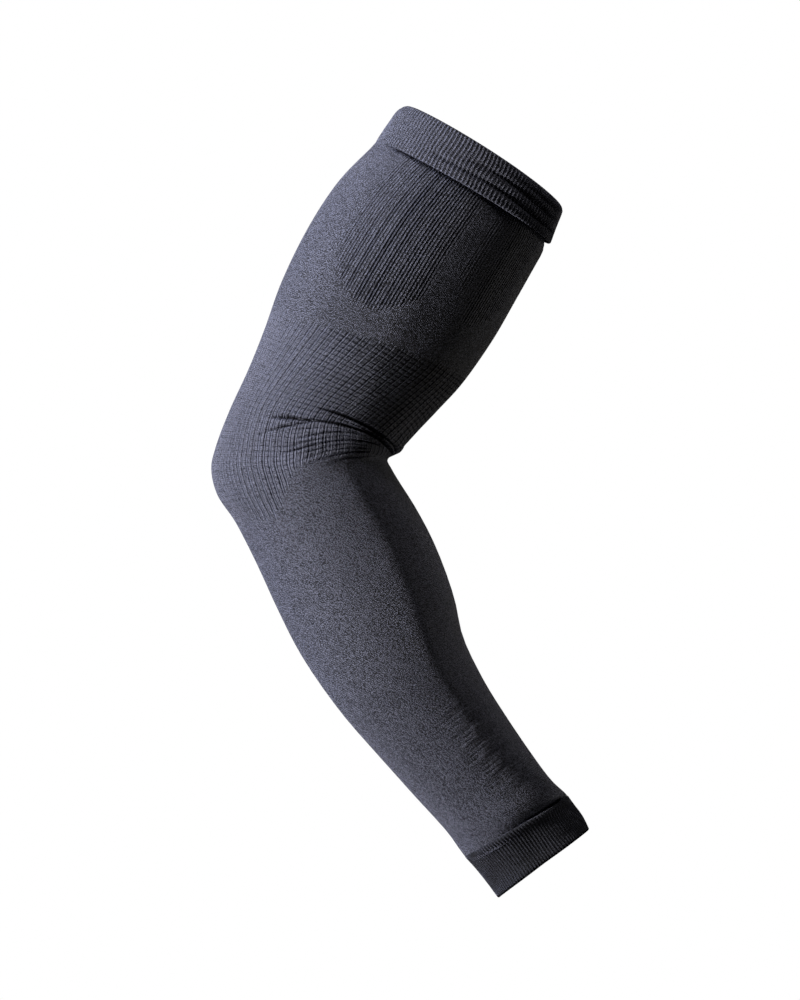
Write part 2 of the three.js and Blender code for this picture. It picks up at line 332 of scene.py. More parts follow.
BAND_HEM_LIFT, BAND_HEM_SHARE = 0.6, (0.6, 1.0)  # how far its hem lies down there
CUFF_EDGES = ((388.7, 390.6, 390.6), (411.5, 413.4, 413.4))
CUFF_SECTION = (
    (0.07, -2.0, 0.1),
    (0.01, -1.5, 0.3),
    (-0.02, -0.7, 0.6),
    (-0.01, 0.2, 0.9),
    (0.04, 0.9, 1.0),
    (0.1, 0.8, 1.0),
    (0.17, 0.1, 1.0),
    (0.3, -0.9, 1.0),
    (0.5, -1.3, 1.0),
    (0.7, -0.9, 1.0),
    (0.86, 0.1, 1.0),
    (0.93, 0.5, 1.0),
    (0.97, 0.3, 0.8),
    (1.0, -0.3, 0.4),
    (1.0, -1.0, 0.2),
    (0.97, -1.6, 0.1),
)
CUFF_RISE = ((6.0, 34.0), (112.0, 165.0))  # degrees over which its edges and its dip rise and flatten out
CUFF_FLATTENED = 0.85  # how much of them is lost where they are flat
CUFF_DENT = (88.0, 18.0, 2.2)  # degrees from the crook, half width and depth of a dent along the arm
CUFF_DENT_UPPER = 0.4  # share of that depth at the upper edge
CUFF_SHADE = (0.945, 0.975)  # where its lower edge is painted dark, as shade below it
CUFF_UPPER, CUFF_LOWER, CUFF_LOWER_LIGHT = (0.06, 0.15), (0.86, 0.92), 0.5  # painted light over its edges
CUFF_CROOK, CUFF_CROOK_LIGHT = (60.0, 95.0), 0.8  # and painted light towards the crook
CUFF_OUTSIDE, CUFF_OUTSIDE_LIGHT = (125.0, 155.0), 0.6  # and painted light round the outside
SEAM_GAP = 0.002  # corners of a seam this close are one
ROWS_PER_POINT = 4  # rows of the mesh from one point of a section to the next
COLUMNS_PER_RIB = 6
STITCHES_PER_RIB = 3
RIB_LEVEL = 0.6  # how far up a rib the section lies
RIB_POWER = 1.3
RIB_OUTSIDE = (0.6, 0.95)  # shares of a rib over which the wall turns from its inside to its outside
RIB_SWAY, RIB_SWAY_DOWN, RIB_SWAY_ROUND = 0.14, 8.0, 2.0  # how far ribs wander, and how fast

# Stitches and yarn. Real filaments are too fine to show, so the flecks are drawn as coarse as GRAIN.
WALES_PER_RIB = 2  # stitches across one rib of a panel
WALES = WALES_PER_RIB * PANEL_RIBS
COURSE_HEIGHT = 0.77  # of one row of stitches, along the arm
GRAIN = 0.4  # size of the flecks in the yarn
SLUB = 1.1  # spacing of its thick places
DYE = 14.0  # spacing of uneven dye
PANEL_GROOVE, ELBOW_GROOVE, TUCK_GROOVE = 0.6, 0.75, 1.0  # half widths in stitches
CREST_PLACE = 1.4  # from the middle of a groove to its raised edge, in half widths
PANEL_UNEVEN = (0.4, 1.4)  # depth of the shallowest and the deepest groove of a panel
JERSEY_FLECKS, BAND_FLECKS, ELBOW_FLECKS = 2.3, 1.4, 1.1  # contrast of the flecks

# Tone of the yarn, from its ground to its fleck, and what each kind of place adds to it: painted light,
# painted shade in the grooves and folds, and a painted highlight on each groove's raised edge
TONE, TONE_SPAN = 0.32, (0.05, 1.3)
DYE_TONE, STITCH_TONE, PAINTED_LIGHT_TONE, CREST_TONE, GROOVE_SHADE_AND_HIGHLIGHT = 0.14, -0.2, 0.4, 0.5, -0.34
FOLD_GROOVE = 2.2  # a fold counts as this many grooves in the painted shade
NEIGHBOUR = -0.5  # each fleck is set off against two beside it, so that no blotches form
LINT = 0.99997  # a fleck whose chance is above this is a stray pale fibre
SLUB_RELIEF, STITCH_RELIEF = 0.6, -0.1
DULL = 1.2  # grooves this deep have no gloss
GLOSS, SHEEN = (0.25, 0.0), (0.8, 0.1)  # on the ribs and in the grooves


def linear(code):
    """An sRGB hex colour as linear red, green and blue."""
    shares = [int(code[i:i + 2], 16) / 255 for i in (1, 3, 5)]
    return tuple(c / 12.92 if c <= 0.04045 else ((c + 0.055) / 1.055) ** 2.4 for c in shares)


# Shaping

def ease(value, low, high):
    """0 below low, 1 above high, and smooth between them."""
    share = np.clip((value - low) / (high - low), 0.0, 1.0)
    return share * share * (3 - 2 * share)


def fade(value, low, high, loss=1.0):
    """1 below low, and smoothly less by the loss above high."""
    return 1 - loss * ease(value, low, high)


def bell(value, middle, half_width):
    """1 at the middle, and dying away on either side."""
    return np.exp(-((value - middle) / half_width) ** 2)


def smooth_line(points, row):
    """A centripetal Catmull-Rom curve through points, read at section numbers with fractions."""
    ends = np.vstack((2 * points[0] - points[1], points, 2 * points[-1] - points[-2]))
    first = np.clip(row.astype(int), 0, len(points) - 2)
    a, b, c, d = (ends[first + step] for step in range(4))
    steps = ((a, b), (b, c), (c, d))
    ab, bc, cd = (np.sqrt(np.linalg.norm(q - p, axis=1, keepdims=True)) for p, q in steps)
    leave = ((b - a) / ab - (c - a) / (ab + bc)) * bc + c - b
    arrive = ((d - c) / cd - (d - b) / (bc + cd)) * bc + c - b
    t = (row - first)[:, None]
    return b + leave * t + (3 * (c - b) - 2 * leave - arrive) * t**2 + (2 * (b - c) + leave + arrive) * t**3


FLAT = np.zeros(len(SECTIONS))
OUTER = np.column_stack((SECTIONS[:, 0], FLAT, SECTIONS[:, 1]))
CROOK = np.column_stack((SECTIONS[:, 2], FLAT, SECTIONS[:, 3]))
SIDE = (OUTER + CROOK) / 2 + np.outer(SECTIONS[:, 4], (0, 1, 0))
MIDDLE_STEPS = np.linalg.norm(np.diff((OUTER + CROOK) / 2, axis=0), axis=1)
REACHED = np.concatenate(((0.0,), np.cumsum(MIDDLE_STEPS)))
REACHED -= REACHED[UPPER_RIM]


def arm_point(along, angle, lift):
    """Points in metres: along the arm, round it from the crook, standing out from its outline."""
    row = np.interp(along, REACHED, np.arange(len(SECTIONS)))
    outer, crook = smooth_line(OUTER, row), smooth_line(CROOK, row)
    egg = np.interp(row, np.arange(len(SECTIONS)), SECTIONS[:, 5])
    half_depth = smooth_line(SIDE, row)[:, 1] * (1 + egg * np.cos(angle))
    half_width = np.linalg.norm(crook - outer, axis=1) / 2
    out = np.array((np.cos(angle) / half_width, np.sin(angle) / half_depth))
    out /= np.linalg.norm(out, axis=0)
    in_plane = half_width * np.cos(angle) + lift * out[0]
    in_depth = half_depth * np.sin(angle) + lift * out[1]
    across = (crook - outer) / (2 * half_width[:, None])
    spot = (outer + crook) / 2 + across * in_plane[:, None]
    spot[:, 1] -= in_depth
    return MM * spot


def from_crook(angle):
    """Degrees round from the crook, the same on both sides of the arm."""
    return np.degrees(np.arccos(np.clip(np.cos(angle), -1.0, 1.0)))


def course_along(side, angle):
    """Where a course lies along the arm: at its side place there, and drawn to the crook on the inside."""
    crook = np.interp(side, COURSE_LINES[:, 0], COURSE_LINES[:, 1])
    turned = from_crook(angle)
    share = np.sin(np.radians(np.minimum(turned, SIDEWAYS)))
    bowed = np.sin(np.pi * np.minimum(turned / BOW_REACH, 1.0)) ** BOW_POWER
    return crook + (side - crook) * share - np.interp(side, *COURSE_BOW.T) * bowed


def drift(turn, along, waves, length, seed):
    """A slow, uneven wave between -1 and 1. waves of it lie round the arm, and length is along it. Its
    factors are odd ones, so that it doesn't repeat along the arm."""
    phase = along / length
    first = np.sin(waves * turn + 1.7 * seed) * np.sin(1.3 * phase + 0.9 * seed)
    second = 0.6 * np.sin((2 * waves + 1) * turn + 0.7 * phase + 2.1 * seed)
    third = 0.4 * np.sin(2.9 * phase - (waves + 2) * turn + seed)
    return (first + second + third) / 2


def broken(turn, along, level, waves):
    """Patches between 0 and 1 that break up a pattern."""
    return np.clip(level + BROKEN_SWING * drift(turn, along, *waves), 0.0, 1.0)


def spread_ribs(turn, side):
    """The angle round the arm where a rib lies, as the ribs of the elbow swing towards the outside."""
    places = [np.interp(side + off, *ELBOW_SPREAD_PLACES.T) for off in ELBOW_SPREAD_BLUR]
    starts, dies = (ease(from_crook(turn), *span) for span in ELBOW_SPREAD_TURN)
    swing = np.radians(ELBOW_SPREAD) * np.mean(places, axis=0) * starts * (1 - dies)
    return turn + swing * np.sign(np.sin(turn))


def fold_lift(turned, side):
    """Grooves that sweep round from the crook between soft lips, and how deep in a groove a place is, which
    is painted as shade.
    """
    lift, groove_shade = np.zeros_like(turned), np.zeros_like(turned)
    for place, depth, half_width, starts, ends, lean in FOLDS:
        share = ease(turned, starts + FOLD_START[0], starts + FOLD_START[1])
        share = share * fade(turned, ends - FOLD_FADE, ends)
        off = (side - place - lean * (turned - MIDWAY)) / half_width
        groove = share * np.exp(-off**2)
        lift += depth * (FOLD_LIP * share * np.exp(-(np.abs(off) - FOLD_LIP_PLACE) ** 2) - groove)
        # the groove's depth is painted as shade
        groove_shade = np.maximum(groove_shade, depth * groove)
    return lift, groove_shade


def wrinkle_lift(turned, side):
    """Short creases, each with a soft lip on its lower side."""
    lift = np.zeros_like(turned)
    for place, middle, half_width, depth in WRINKLES:
        bent = place + WRINKLE_BEND * np.sin(np.radians(turned - middle) * WRINKLE_WAVES)
        reach = np.clip(1 - ((turned - middle) / half_width) ** 2, 0.0, 1.0)
        off = (side - bent) / WRINKLE_WIDTH
        lift += depth * reach * (WRINKLE_LIP * np.exp(-(off - WRINKLE_LIP_PLACE) ** 2) - np.exp(-off**2))
    return lift


def tube_stand(turned, side):
    """How far the tube's cloth stands out from the outline, and how deep in a fold or a gap a place is,
    which is painted as shade.
    """
    lift, opens, closes = (np.interp(side, TUBE_STAND[:, 0], column) for column in TUBE_STAND.T[1:])
    opened = ease(turned, opens - OPENING, opens) * fade(turned, closes - CLOSING, closes + CLOSING)
    lift *= CLOSED + (1 - CLOSED) * opened
    flap = FLAP * bell(side, FLAP_SIDE, FLAP_WIDTH) * fade(turned, *FLAP_ENDS)
    folds, depth = fold_lift(turned, side)
    brow, height = (np.interp(side, BROW[:, 0], column) for column in BROW.T[1:])
    hem, half_width, ends = HEM_SHADE
    # painted shade in the gap under the band's hem
    under_hem_shade = bell(side, hem, half_width) * fade(turned, ends - HEM_FADE, ends)
    return lift + flap + folds + height * bell(turned, brow, BROW_WIDTH), np.maximum(depth, under_hem_shade)


def panel_mask(turned, side):
    """1 on the rib panels of the upper arm."""
    mask = np.zeros_like(turned)
    for middle, half_width, lowest, rise in PANELS:
        off = np.abs(turned - middle) / half_width
        edge = lowest - rise * off**PANEL_CURVE
        inside = fade(off, *PANEL_SIDES) * fade(side, edge - PANEL_SOFT, edge + PANEL_SOFT)
        mask = np.maximum(mask, inside)
    return mask


def elbow_mask(turned, side):
    """1 in the ribbed and tucked zone round the elbow."""
    low = ELBOW_LOW[0] + (ELBOW_LOW[1] - ELBOW_LOW[0]) * ease(turned, *ELBOW_LOW_TURN)
    top = ELBOW_TOP + ELBOW_TOP_SLOPE * (np.clip(turned, *ELBOW_SLOPED) - SIDEWAYS)
    starts = ease(side, top + ELBOW_TOP_EDGE[0], top + ELBOW_TOP_EDGE[1])
    return starts * fade(side, low + ELBOW_LOW_EDGE[0], low + ELBOW_LOW_EDGE[1])


def tube_knit(turn, turned, side):
    """Shares of the kinds of knit: panel ribs, elbow ribs, tucks across them, and painted light on the elbow
    zone, less painted shade on the upper arm towards the crook.
    """
    unspread = from_crook(turn)
    worn = 1 + WEAR_SHARE * drift(turn, side, *WEAR)
    panel = panel_mask(unspread, side) * worn * fade(unspread, *PANEL_FADE, PANEL_LOSS)
    elbow = elbow_mask(turned, side) * worn * fade(turned, *ELBOW_FADE, ELBOW_LOSS)

    bead = broken(turn, side, BEAD_LEVEL, BEADS)
    tuck = TUCK * elbow * (1 - TUCK_LOW_LOSS * ease(side, *TUCK_LOW) * (1 - bead))
    tuck = tuck * (1 - ease(turned, *TUCK_OUTSIDE) * (1 - BEAD * bead))
    crinkle = CRINKLE * ease(side, *CRINKLE_PLACES[0]) * fade(side, *CRINKLE_PLACES[1])
    crinkle = crinkle * bell(turned, *CRINKLE_TURN) * broken(turn, side, CRINKLE_LEVEL, CRINKLES)

    below = ease(side, *BELOW_FOLD)
    starts, ends = (high + (low - high) * below for high, low in zip(PAINTED_LIGHT_ABOVE, PAINTED_LIGHT_BELOW))
    fan = 1 + FAN_PAINTED_LIGHT * below * fade(turned, *FAN_OUTSIDE)
    # painted shade on the upper arm towards the crook
    upper_arm_shade = UPPER_ARM_SHADE * ease(side, *UPPER_ARM_SHADE_PLACES[0]) * fade(side, *UPPER_ARM_SHADE_PLACES[1])
    upper_arm_shade = upper_arm_shade * fade(turned, *UPPER_ARM_SHADE_OUTSIDE)
    # painted light on the elbow zone towards the outside of the arm, less that painted shade
    painted_light_and_shade = elbow * ease(turned, starts, ends) * fan - upper_arm_shade
    return {"panel": panel, "elbow": elbow, "tuck": np.maximum(tuck, crinkle), "painted_light_and_shade": painted_light_and_shade}


def band_shape(lift, share, turn, outside):
    """Soft creases round the band, with painted shade in them towards the crook, and its edges rounded off
    on the outside of the arm.
    """
    turned = from_crook(turn)
    rounded = ease(turned, *BAND_ROUND)
    lift = lift + BAND_ROUND_LIFT * rounded * np.clip(1 - share / BAND_ROUND_SHARE, 0.0, 1.0) ** 2
    lift = lift - BAND_HEM_LIFT * outside * rounded * ease(share, *BAND_HEM_SHARE)
    painted_shade_share = np.zeros_like(turned)
    for middle, depth, starts, ends in BAND_CREASES:
        reach = ease(turned, starts, starts + CREASE_FADE) * fade(turned, ends - CREASE_FADE, ends)
        off = (share - middle - CREASE_SWAY * drift(turn, middle, *CREASE_DRIFT)) / CREASE_WIDTH
        groove = outside * depth * reach * np.exp(-off**2)
        lip = np.exp(-(np.abs(off) - CREASE_LIP_PLACE) ** 2)
        lift = lift + CREASE_LIP * outside * depth * reach * lip - groove
        # painted shade in the crease, towards the crook
        painted_shade_share = np.maximum(painted_shade_share, groove * fade(turned, *CREASE_SHADE))
    return lift, painted_shade_share, np.zeros_like(turned)


def cuff_shape(lift, share, turn, outside):
    """The cuff's edges and its dip are strongest on the side of the arm, where it is dented too. Painted
    light lies over its edges, towards the crook and round the outside, and painted shade darkens its lower
    edge."""
    turned = from_crook(turn)
    rise, fall = (ease(turned, *span) for span in CUFF_RISE)
    flat = outside * (1 - rise * (1 - fall))
    middle, half_width, depth = CUFF_DENT
    dent = depth * bell(turned, middle, half_width) * (CUFF_DENT_UPPER + (1 - CUFF_DENT_UPPER) * share)
    # painted shade along its lower edge
    painted_shade_share = ease(share, *CUFF_SHADE)
    # painted light over its edges, towards the crook and round the outside
    edges = fade(share, *CUFF_UPPER) + CUFF_LOWER_LIGHT * ease(share, *CUFF_LOWER)
    sides = CUFF_CROOK_LIGHT * fade(turned, *CUFF_CROOK)
    sides = sides + CUFF_OUTSIDE_LIGHT * ease(turned, *CUFF_OUTSIDE)
    painted_light_and_shade = outside * np.maximum(edges, sides) * (1 - painted_shade_share)
    sag = CUFF_SAG_LIFT * outside * drift(turn, share, *CUFF_SAG)
    return lift * (1 - CUFF_FLATTENED * flat) - dent + sag, painted_shade_share, painted_light_and_shade


# Meshes

def rolled_knit(columns, rows, wales, courses, place):
    """A knit rolled into a tube with a wall: a flat grid whose rows run down the outside and back up the
    inside. place gives each corner's spot and its shares of the named kinds of knit, from its turn and its
    row."""
    bm = bmesh.new()
    stitches = bm.loops.layers.uv.new("stitches")
    bmesh.ops.create_grid(bm, x_segments=columns, y_segments=rows, size=0.5, calc_uvs=True)
    flat = np.array([corner.co[:2] for corner in bm.verts]) + 0.5
    row = np.rint(flat[:, 1] * rows).astype(int)
    column = np.rint(flat[:, 0] * columns).astype(int)
    spots, kinds = place(2 * np.pi * flat[:, 0], row)
    for name, shares in kinds.items():
        layer = bm.verts.layers.float.new(name)
        for corner, share in zip(bm.verts, shares):
            corner[layer] = share
    for corner, spot in zip(bm.verts, spots):
        corner.co = spot
    for face in bm.faces:
        face.smooth = True
        for loop in face.loops:
            u, v = loop[stitches].uv
            loop[stitches].uv = (u * wales, courses[round(v * rows)])
    seam = (column == 0) | (column == columns) | (row == 0) | (row == rows)
    edges = [corner for corner, on_seam in zip(bm.verts, seam) if on_seam]
    bmesh.ops.remove_doubles(bm, verts=edges, dist=SEAM_GAP * MM)
    bmesh.ops.recalc_face_normals(bm, faces=bm.faces)
    return bm


def ribbed_edge(edges, section, ribs, rib_height, shape):
    """A ribbed band with a wall, between two edges, from its section. shape gives the lift of a spot, its
    painted shade and its painted light, from the section's lift, its share between the edges, its turn round
    the arm and whether it is on the outside of the wall."""
    upper, lower = np.array(edges)
    width = lower[0] - upper[0]
    table = np.array(section) * (width, 1.0, 1.0)
    places = np.linspace(0, len(table) - 1, ROWS_PER_POINT * (len(table) - 1) + 1)
    walk = np.vstack((smooth_line(table, places), table[:1])) / (width, 1.0, 1.0)

    def place(turn, row):
        share, lift, rib = walk[row].T
        turned = from_crook(turn)
        outside = ease(rib, *RIB_OUTSIDE)
        wander = np.sin(RIB_SWAY_DOWN * share + RIB_SWAY_ROUND * drift(turn, share, *RIB_DRIFT))
        phase = ribs * turn / (2 * np.pi) + RIB_SWAY * wander * outside
        crest = rib * (0.5 + 0.5 * np.cos(2 * np.pi * phase)) ** RIB_POWER
        side, crook, outer = (high + (low - high) * share for high, low in zip(upper, lower))
        end = np.where(turned < SIDEWAYS, crook, outer)
        along = end + (side - end) * np.sin(np.radians(turned))
        standing, painted_shade_share, painted_light_and_shade = shape(lift, share, turn, outside)
        standing = standing + (crest - RIB_LEVEL * rib) * rib_height / MM
        # the painted shade and the painted light go to the material as shares
        return arm_point(along, turn, standing), {"crest": crest, "fold": painted_shade_share, "painted_light_and_shade": painted_light_and_shade}

    courses = walk[:, 0] * width / COURSE_HEIGHT
    return rolled_knit(ribs * COLUMNS_PER_RIB, len(walk) - 1, STITCHES_PER_RIB * ribs, courses, place)


def as_piece(name, bm, material, nodes):
    mesh = bpy.data.meshes.new(name)
    bm.to_mesh(mesh)
    bm.free()
    mesh.materials.append(material)
    piece = bpy.data.objects.new(name, mesh)
    bpy.context.scene.collection.objects.link(piece)
    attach(piece, BODY)
    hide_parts(*nodes)
    return piece


# Materials

MATH, RANGE, VECTOR = "ShaderNodeMath", "ShaderNodeMapRange", "ShaderNodeVectorMath"
CHANCE, NOISE, MIX = "ShaderNodeTexWhiteNoise", "ShaderNodeTexNoise", "ShaderNodeMix"


def add_node(tree, kind, *values, inputs=None, output=0, **settings):
    """Adds a node with its settings. Its inputs get a value or a link, in order or by name or number. Gives
    back one of its outputs, if it has any."""
    made = tree.nodes.new(kind)
    for name, value in settings.items():
        setattr(made, name, value)
    for key, value in (*enumerate(values), *(inputs or {}).items()):
        if isinstance(value, bpy.types.NodeSocket):
            tree.links.new(value, made.inputs[key])
        else:
            made.inputs[key].default_value = value
    return made.outputs[output] if made.outputs else None


def knit_material(name, ground, fleck, flecks, sizes, colours):
    """Nylon and elastane yarn in plain stitches, with ribs and tucks where the mesh has such shares. The
    melange of the yarn gives single flecks a lighter tone. The mesh's shares of painted light and painted
    shade lighten or darken it, the grooves and folds get painted shade, and the raised edge beside each
    groove a painted highlight. The eye sees a fine grain, thin light rib lines with a dark line beside each,
    and a soft bloom at grazing angles."""
    material = bpy.data.materials.new(name)
    material.use_nodes = True
    material.node_tree.nodes.clear()
    add = partial(add_node, material.node_tree)
    share = {
        kind: add("ShaderNodeAttribute", attribute_name=kind, output="Fac")
        for kind in ("panel", "elbow", "tuck", "painted_light_and_shade", "fold", "crest")
    }
    stitches = add("ShaderNodeUVMap", uv_map="stitches")
    across = add("ShaderNodeSeparateXYZ", stitches, output="X")
    down = across.node.outputs["Y"]
    place = add("ShaderNodeTexCoord", output="Object")

    def chance_at(*steps):
        """A number between 0 and 1 for the fleck of yarn that many flecks away."""
        there = add(VECTOR, place, [GRAIN * MM * step for step in steps], operation="ADD")
        return add(CHANCE, add(VECTOR, there, [GRAIN * MM] * 3, operation="SNAP"), noise_dimensions="3D")

    def groove(position, pitch, half_width):
        """1 at the bottom of each groove, and 0 between the grooves."""
        off = add(MATH, position, pitch / 2, operation="PINGPONG")
        return add(RANGE, off, half_width, 0.0, interpolation_type="SMOOTHSTEP")

    def ribbing(position, pitch, half_width):
        """Grooves with a raised edge on the side towards the crook, which is -1 at its crest."""
        beside = add(MATH, position, CREST_PLACE * half_width, operation="ADD")
        crest = groove(beside, pitch, half_width)
        return add(MATH, groove(position, pitch, half_width), crest, operation="SUBTRACT")

    # Grooves between the ribs of the panels and round the pillows of the elbow zone, which are also bumps,
    # and the folds' painted shade
    panel_rib = ribbing(add(MATH, across, 0.5, operation="ADD"), WALES_PER_RIB, PANEL_GROOVE)
    rib_number = add(MATH, add(MATH, across, WALES_PER_RIB, operation="DIVIDE"), operation="FLOOR")
    rib_chance = add(CHANCE, inputs={"W": rib_number}, noise_dimensions="1D")
    uneven = add(RANGE, rib_chance, 0.0, 1.0, *PANEL_UNEVEN, interpolation_type="SMOOTHSTEP")
    panel = add(MATH, share["panel"], uneven, operation="MULTIPLY")
    from_top = add(MATH, down, ELBOW_TOP / COURSE_HEIGHT, operation="SUBTRACT")
    tuck = groove(from_top, TUCK_PITCH / COURSE_HEIGHT, TUCK_GROOVE)
    elbow_rib = ribbing(across, WALES / ELBOW_RIBS, ELBOW_GROOVE)
    elbow = add(MATH, elbow_rib, share["elbow"], operation="MULTIPLY")
    pillows = add(MATH, tuck, share["tuck"], elbow, operation="MULTIPLY_ADD")
    ribs = add(MATH, panel_rib, panel, pillows, operation="MULTIPLY_ADD")
    grooves = add(MATH, share["fold"], FOLD_GROOVE, ribs, operation="MULTIPLY_ADD")

    # Tone of the yarn, lighter in the middle of each stitch, with painted shade in the grooves and folds and
    # a painted highlight on the raised edge beside each groove
    turns = [add(MATH, way, 2 * math.pi, operation="MULTIPLY") for way in (across, down)]
    stitch = add(MATH, *(add(MATH, turn, operation="COSINE") for turn in turns), operation="ADD")
    chance = chance_at(0, 0, 0)
    beside = add(MATH, chance_at(1, 0, 0), chance_at(0, 0, 1), operation="ADD")
    grain = add(MATH, beside, NEIGHBOUR, chance, operation="MULTIPLY_ADD")
    contrast = add(RANGE, share["elbow"], 0.0, 1.0, flecks, ELBOW_FLECKS, interpolation_type="SMOOTHSTEP")
    dye = add(NOISE, inputs={"Vector": place, "Scale": 1 / (DYE * MM), "Detail": 3.0})
    tone = add(MATH, grain, contrast, TONE, operation="MULTIPLY_ADD")
    tones = (
        (stitch, STITCH_TONE),
        (dye, DYE_TONE),
        (share["painted_light_and_shade"], PAINTED_LIGHT_TONE),
        (grooves, GROOVE_SHADE_AND_HIGHLIGHT),
        (share["crest"], CREST_TONE),
    )
    for where, more in tones:
        tone = add(MATH, where, more, tone, operation="MULTIPLY_ADD")
    lightness = add(RANGE, tone, *TONE_SPAN, interpolation_type="SMOOTHSTEP")
    yarn = add(MIX, lightness, inputs={6: (*ground, 1), 7: (*fleck, 1)}, output=2, data_type="RGBA")
    stray = add(MATH, chance, LINT, operation="GREATER_THAN")
    colour = add(MIX, stray, inputs={6: yarn, 7: (*colours.lint, 1)}, output=2, data_type="RGBA")

    slub = add(NOISE, inputs={"Vector": place, "Scale": 1 / (SLUB * MM), "Detail": 1.0})
    stitched = add(MATH, stitch, STITCH_RELIEF, operation="MULTIPLY")
    raised = add(MATH, slub, SLUB_RELIEF, stitched, operation="MULTIPLY_ADD")
    height = add(MATH, raised, ribs, operation="SUBTRACT")
    relief = {"Height": height, "Strength": 1.0, "Distance": sizes.knit_relief}
    shader = add("ShaderNodeBsdfPrincipled", inputs={
        "Base Color": colour,
        "Roughness": 0.8,
        "IOR": 1.53,
        # gloss and sheen die out in deep grooves and in the painted shade of folds, which keeps them dark
        "Specular IOR Level": add(RANGE, grooves, 0.0, DULL, *GLOSS, interpolation_type="SMOOTHSTEP"),
        "Sheen Weight": add(RANGE, grooves, 0.0, DULL, *SHEEN, interpolation_type="SMOOTHSTEP"),
        "Sheen Roughness": 0.35,
        "Sheen Tint": (*colours.bloom, 1),
        "Normal": add("ShaderNodeBump", inputs=relief),
    })
    add("ShaderNodeOutputMaterial", shader)
    return material


# Settings

class SleeveSizes(bpy.types.PropertyGroup):
    """Sizes of the knit."""
    wall: FloatProperty(
        name="Cloth", description="Thickness of the tube's cloth", default=1.2 * MM, unit="LENGTH")
    band_ribs: IntProperty(name="Band ribs", description="Ribs round the upper band", default=140)
    cuff_ribs: IntProperty(name="Cuff ribs", description="Ribs round the wrist cuff", default=106)
    edge_rib: FloatProperty(
        name="Edge ribs", description="Height of the ribs of the band and the cuff",
        default=0.55 * MM, unit="LENGTH")
    knit_relief: FloatProperty(
        name="Knit relief", description="Height of the knitted ribs and tucks",
        default=0.7 * MM, unit="LENGTH")


class SleeveColours(bpy.types.PropertyGroup):
    """Colours of the yarn and the stage."""
    ground: FloatVectorProperty(
        name="Yarn", description="Main tone of the yarn", subtype="COLOR", default=linear("#1a1a1e"))
    fleck: FloatVectorProperty(
        name="Fleck", description="Lighter tone in the yarn", subtype="COLOR", default=linear("#82859a"))
    edge: FloatVectorProperty(
        name="Edge yarn", description="Main tone of the band and the cuff",
        subtype="COLOR", default=linear("#17171b"))
    cuff: FloatVectorProperty(
        name="Cuff fleck", description="Lighter tone in the cuff's yarn",
        subtype="COLOR", default=linear("#3e404b"))
    bloom: FloatVectorProperty(
        name="Bloom", description="Sheen of the fibre ends", subtype="COLOR", default=linear("#999cb6"))
    lint: FloatVectorProperty(
        name="Lint", description="Stray pale fibres", subtype="COLOR", default=linear("#c9cad2"))
    floor: FloatVectorProperty(
        name="Floor", description="Studio floor", subtype="COLOR", default=linear("#f4f4f4"))


# Pieces

class SLEEVE_OT_tube(bpy.types.Operator):
    """Knit the tube, with its rib panels, its elbow zone and the folds of the bent arm"""
    bl_idname = "sleeve.tube"
    bl_label = "Tube"

    def execute(self, context):
        sizes, colours = context.scene.sleeve_sizes, context.scene.sleeve_colours
        outside = [np.linspace(low, high, count, endpoint=False) for low, high, count in TUBE_ROWS]
        sides = np.concatenate((*outside, (TUBE_ROWS[-1][1],), LINING_ROWS, (TUBE_ROWS[0][0],)))
        lined = np.arange(len(sides)) >= len(sides) - len(LINING_ROWS) - 1
        lined[-1] = False

        def place(turn, row):
            side = sides[row]
            angle = spread_ribs(turn, side)
            turned = from_crook(angle)
            stand, depth = tube_stand(turned, side)
            outer = stand + wrinkle_lift(turned, side) + SAG_LIFT * drift(turn, side, *SAG)
            inner = stand - sizes.wall / MM - LINING_GAP
            spots = arm_point(course_along(side, angle), angle, np.where(lined[row], inner, outer))
            # the folds and the gap under the hem get painted shade in the material
            kinds = {**tube_knit(turn, turned, side), "fold": depth}
            return spots, {name: np.where(lined[row], 0.0, share) for name, share in kinds.items()}

        bm = rolled_knit(TUBE_COLUMNS, len(sides) - 1, WALES, sides / COURSE_HEIGHT, place)
        material = knit_material(
            "Nylon jersey knit", colours.ground, colours.fleck, JERSEY_FLECKS, sizes, colours)
        nodes = ("upper_sleeve", "forearm_sleeve")
        as_piece("sleeve_tube", bm, material, nodes)
        return {"FINISHED"}


class SLEEVE_OT_band(bpy.types.Operator):
    """Knit the turned band at the upper opening"""
    bl_idname = "sleeve.band"
    bl_label = "Upper band"

    def execute(self, context):
        sizes, colours = context.scene.sleeve_sizes, context.scene.sleeve_colours
        bm = ribbed_edge(BAND_EDGES, BAND_SECTION, sizes.band_ribs, sizes.edge_rib, band_shape)
        material = knit_material("Nylon rib knit", colours.edge, colours.fleck, BAND_FLECKS, sizes, colours)
        as_piece("sleeve_band", bm, material, ("upper_band",))
        return {"FINISHED"}


class SLEEVE_OT_cuff(bpy.types.Operator):
    """Knit the ribbed cuff at the wrist"""
    bl_idname = "sleeve.cuff"
    bl_label = "Wrist cuff"

    def execute(self, context):
        sizes, colours = context.scene.sleeve_sizes, context.scene.sleeve_colours
        bm = ribbed_edge(CUFF_EDGES, CUFF_SECTION, sizes.cuff_ribs, sizes.edge_rib, cuff_shape)
        material = knit_material(
            "Nylon cuff knit", colours.edge, colours.cuff, JERSEY_FLECKS, sizes, colours)
        as_piece("sleeve_cuff", bm, material, ("wrist_cuff",))
        return {"FINISHED"}


# Stage

